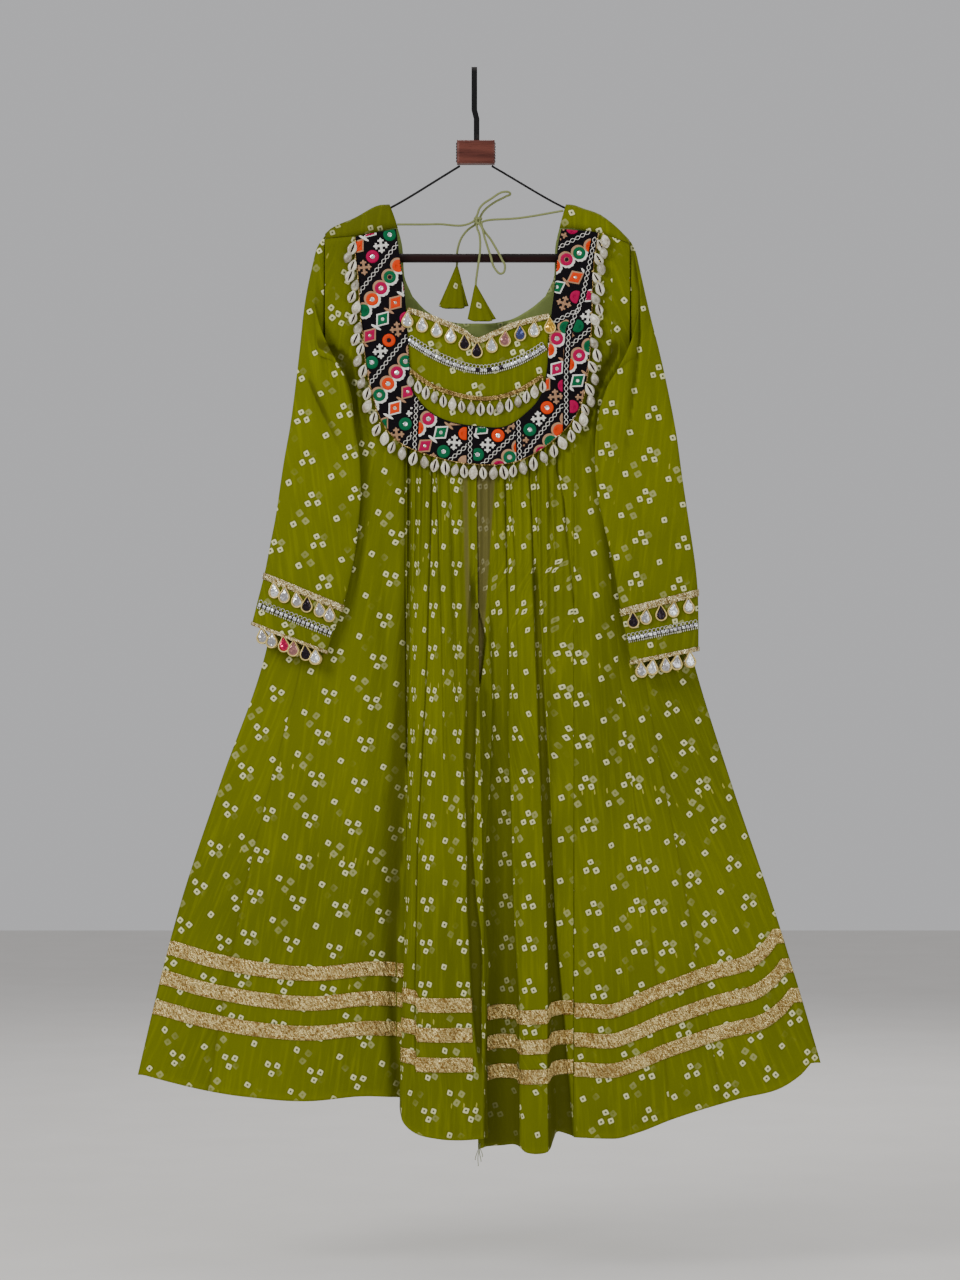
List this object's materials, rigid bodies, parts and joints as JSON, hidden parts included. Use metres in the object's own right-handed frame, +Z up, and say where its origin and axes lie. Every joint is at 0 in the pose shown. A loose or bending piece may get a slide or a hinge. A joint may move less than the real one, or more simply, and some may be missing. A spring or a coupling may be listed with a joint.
{
  "type": "bandhani kurti on a hanger",
  "caption": "Long flared tie-dyed tunic with a patchwork yoke, open sleeves, a gathered front and gota hem bands, hung flat on a wire and wood hanger.",
  "frame": {"origin": "seat of the hanger's hook, where it rests on its bar", "axes": "+Z up along the hook, +Y to the garment's back, +X to the viewer's right of the front"},
  "size_m": [0.9009, 0.0964, 1.4296],
  "materials": {
    "bandhani_georgette": "sheer crinkled georgette, olive green with tied and dyed dots",
    "patchwork": "black ground with coloured thread and mirrors",
    "gota_tape": "crinkled gold tape",
    "mirror_trim": "mirrors in gold rims",
    "cowrie": "glossy shell",
    "tie_cord": "soft cord",
    "black_metal": "satin black",
    "walnut_block": "satin walnut",
    "dark_rod": "dark lacquered wood"
  },
  "bodies": {
    "root": {"hanger_hook": "black_metal", "hanger_block": "walnut_block", "hanger_wire_left": "black_metal", "hanger_wire_right": "black_metal", "hanger_rod": "dark_rod", "back_bodice": "bandhani_georgette", "front_side_left": "bandhani_georgette", "front_side_right": "bandhani_georgette", "front_gather_left": "bandhani_georgette", "front_gather_right": "bandhani_georgette", "back_skirt_left": "bandhani_georgette", "back_skirt_right": "bandhani_georgette", "gota_side_left_1": "gota_tape", "gota_side_left_2": "gota_tape", "gota_side_left_3": "gota_tape", "gota_side_right_1": "gota_tape", "gota_side_right_2": "gota_tape", "gota_side_right_3": "gota_tape", "gota_gather_left_1": "gota_tape", "gota_gather_left_2": "gota_tape", "gota_gather_left_3": "gota_tape", "gota_gather_right_1": "gota_tape", "gota_gather_right_2": "gota_tape", "gota_gather_right_3": "gota_tape", "gota_back_left_1": "gota_tape", "gota_back_left_2": "gota_tape", "gota_back_left_3": "gota_tape", "gota_back_right_1": "gota_tape", "gota_back_right_2": "gota_tape", "gota_back_right_3": "gota_tape", "neck_panel": "bandhani_georgette", "patchwork_band": "patchwork", "shell_trim_outer": "cowrie", "neck_drop_trim": "mirror_trim", "neck_mirror_chain": "mirror_trim", "neck_shell_trim": "cowrie", "sleeve_upper_left": "bandhani_georgette", "sleeve_lower_left": "bandhani_georgette", "cuff_drops_upper_left": "mirror_trim", "cuff_chain_left": "mirror_trim", "cuff_drops_lower_left": "mirror_trim", "sleeve_upper_right": "bandhani_georgette", "sleeve_lower_right": "bandhani_georgette", "cuff_drops_upper_right": "mirror_trim", "cuff_chain_right": "mirror_trim", "cuff_drops_lower_right": "mirror_trim", "tie_left_run": "tie_cord", "tie_right_run": "tie_cord", "bow_loop_upper": "tie_cord", "bow_loop_lower": "tie_cord", "tie_left_end": "tie_cord", "tie_right_end": "tie_cord", "tie_knot": "tie_cord", "latkan_left": "tie_cord", "latkan_right": "tie_cord"}
  },
  "joints": []
}
